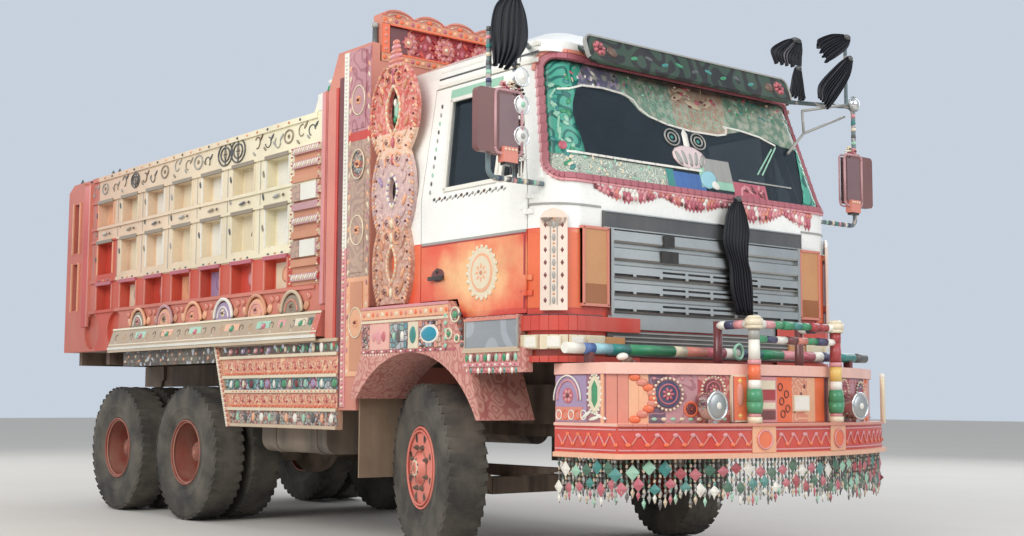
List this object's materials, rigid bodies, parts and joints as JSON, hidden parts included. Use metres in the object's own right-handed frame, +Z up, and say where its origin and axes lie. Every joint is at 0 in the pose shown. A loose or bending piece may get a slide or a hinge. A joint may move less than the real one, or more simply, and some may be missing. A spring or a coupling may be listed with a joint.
{
  "type": "decorated six-by-four tipper truck",
  "caption": "Forward-cab tipper truck with painted ornament, tipping body, guard posts and a crown board behind the cab.",
  "frame": {"origin": "on the ground under the middle of the truck's overall length and width", "axes": "+X forwards along the truck, +Y to its left, +Z up"},
  "size_m": [7.77, 3.455, 3.55],
  "materials": {
    "chassis_steel": "dusty dark paint",
    "spring_steel": "rusty, dusty",
    "cast": "oily and dusty",
    "tank_paint": "worn grey",
    "flap_rubber": "dusty",
    "cab_floor_paint": "worn",
    "cab_white": "gloss white with ornament",
    "cab_red": "gloss orange-red with ornament",
    "grille_silver": "silver with black slots",
    "window_glass": "dark tinted",
    "visor_dark": "dark gloss",
    "trim_dark": "matt",
    "seat_cloth": "red cloth",
    "fender_paint": "peach with mosaic",
    "bumper_paint": "pink and red with ornament",
    "guard_paint": "striped bands",
    "lamp_glass": "bright reflector",
    "bead_fringe": "beaded chains",
    "mirror_tube": "pale paint",
    "mirror_shell": "maroon",
    "skirt_paint": "salmon rows and mosaic",
    "black_cloth": "pleated black cloth",
    "board_paint": "salmon with ornament",
    "bed_paint": "pale yellow and red rows",
    "bed_inside": "worn bare steel",
    "gate_paint": "red",
    "hoist_paint": "grey",
    "ram_chrome": "bright",
    "tyre": "worn, dusty",
    "rim_red": "salmon red"
  },
  "bodies": {
    "chassis": {"chassis_frame": "chassis_steel", "axles": "cast", "leaf_springs": "spring_steel", "engine_block": "cast", "propshafts": "chassis_steel", "fuel_tank": "tank_paint", "exhaust": "spring_steel", "mud_flaps": "flap_rubber", "cab_floor": "cab_floor_paint", "cab_back": "cab_white", "cab_roof": "cab_white", "cab_front": "cab_white", "grille": "grille_silver", "windscreen": "window_glass", "sun_visor": "visor_dark", "dashboard": "trim_dark", "seats": "seat_cloth", "steering_wheel": "trim_dark", "front_fenders": "fender_paint", "bumper": "bumper_paint", "guard_rail": "guard_paint", "headlamps": "lamp_glass", "fringe": "bead_fringe", "mirror_frames": "mirror_tube", "mirrors": "mirror_shell", "side_skirts": "skirt_paint", "cloths": "black_cloth", "headboard": "board_paint", "curved_panels": "board_paint"},
    "bed": {"bed_floor": "bed_inside", "bed_sides": "bed_paint", "bed_bulkhead": "bed_inside"},
    "gate": {"tailgate": "gate_paint"},
    "barrel": {"hoist_barrel": "hoist_paint"},
    "ram": {"hoist_rod": "ram_chrome"},
    "right_door": {"door_right": "cab_red", "door_glass_right": "window_glass"},
    "left_door": {"door_left": "cab_red", "door_glass_left": "window_glass"},
    "right_knuckle": {"knuckle_right": "cast"},
    "left_knuckle": {"knuckle_left": "cast"},
    "right_front_wheel": {"front_tyre_right": "tyre", "front_rim_right": "rim_red"},
    "left_front_wheel": {"front_tyre_left": "tyre", "front_rim_left": "rim_red"},
    "second_axle_right_wheels": {"tyres_axle_2_right": "tyre", "rims_axle_2_right": "rim_red"},
    "second_axle_left_wheels": {"tyres_axle_2_left": "tyre", "rims_axle_2_left": "rim_red"},
    "third_axle_right_wheels": {"tyres_axle_3_right": "tyre", "rims_axle_3_right": "rim_red"},
    "third_axle_left_wheels": {"tyres_axle_3_left": "tyre", "rims_axle_3_left": "rim_red"}
  },
  "joints": [
    {"name": "bed_tip", "type": "hinge", "parent": "chassis", "child": "bed", "pos_m": [-3.47, 0, 1.015], "axis": [0, -1, 0], "range_deg": [0, 45]},
    {"name": "gate_swing", "type": "hinge", "parent": "bed", "child": "gate", "pos_m": [-3.82, 0, 2.83], "axis": [0, 1, 0], "range_deg": [0, 60]},
    {"name": "barrel_pivot", "type": "hinge", "parent": "chassis", "child": "barrel", "pos_m": [-1.87, 0, 0.77], "axis": [0, -1, 0], "range_deg": [0, 63.4]},
    {"name": "ram_slide", "type": "slide", "parent": "barrel", "child": "ram", "axis": [0.9627, 0, 0.2707], "range_m": [0, 1.044]},
    {"name": "right_door_swing", "type": "hinge", "parent": "chassis", "child": "right_door", "pos_m": [2.919, -1.251, 1.8], "axis": [0, 0, 1], "range_deg": [0, 70]},
    {"name": "left_door_swing", "type": "hinge", "parent": "chassis", "child": "left_door", "pos_m": [2.919, 1.251, 1.8], "axis": [0, 0, -1], "range_deg": [0, 70]},
    {"name": "right_steer", "type": "hinge", "parent": "chassis", "child": "right_knuckle", "pos_m": [1.83, -0.86, 0.529], "axis": [0, 0, 1], "range_deg": [-16, 48]},
    {"name": "left_steer", "type": "hinge", "parent": "chassis", "child": "left_knuckle", "pos_m": [1.83, 0.86, 0.529], "axis": [0, 0, 1], "range_deg": [-16, 48]},
    {"name": "right_front_spin", "type": "hinge", "parent": "right_knuckle", "child": "right_front_wheel", "pos_m": [1.78755, -1.00803, 0.529], "axis": [-0.2756, -0.9613, 0], "continuous": true},
    {"name": "left_front_spin", "type": "hinge", "parent": "left_knuckle", "child": "left_front_wheel", "pos_m": [1.87245, 1.00803, 0.529], "axis": [0.2756, 0.9613, 0], "continuous": true},
    {"name": "second_axle_right_spin", "type": "hinge", "parent": "chassis", "child": "second_axle_right_wheels", "pos_m": [-1.338, -0.914, 0.529], "axis": [0, -1, 0], "continuous": true},
    {"name": "second_axle_left_spin", "type": "hinge", "parent": "chassis", "child": "second_axle_left_wheels", "pos_m": [-1.338, 0.914, 0.529], "axis": [0, 1, 0], "continuous": true},
    {"name": "third_axle_right_spin", "type": "hinge", "parent": "chassis", "child": "third_axle_right_wheels", "pos_m": [-2.643, -0.914, 0.529], "axis": [0, -1, 0], "continuous": true},
    {"name": "third_axle_left_spin", "type": "hinge", "parent": "chassis", "child": "third_axle_left_wheels", "pos_m": [-2.643, 0.914, 0.529], "axis": [0, 1, 0], "continuous": true}
  ],
  "couplings": [
    {"joint": "barrel_pivot", "follows": "bed_tip", "ratio": 1.4055},
    {"joint": "ram_slide", "follows": "bed_tip", "m_per_rad": 1.325},
    {"joint": "left_steer", "follows": "right_steer", "ratio": 1}
  ]
}
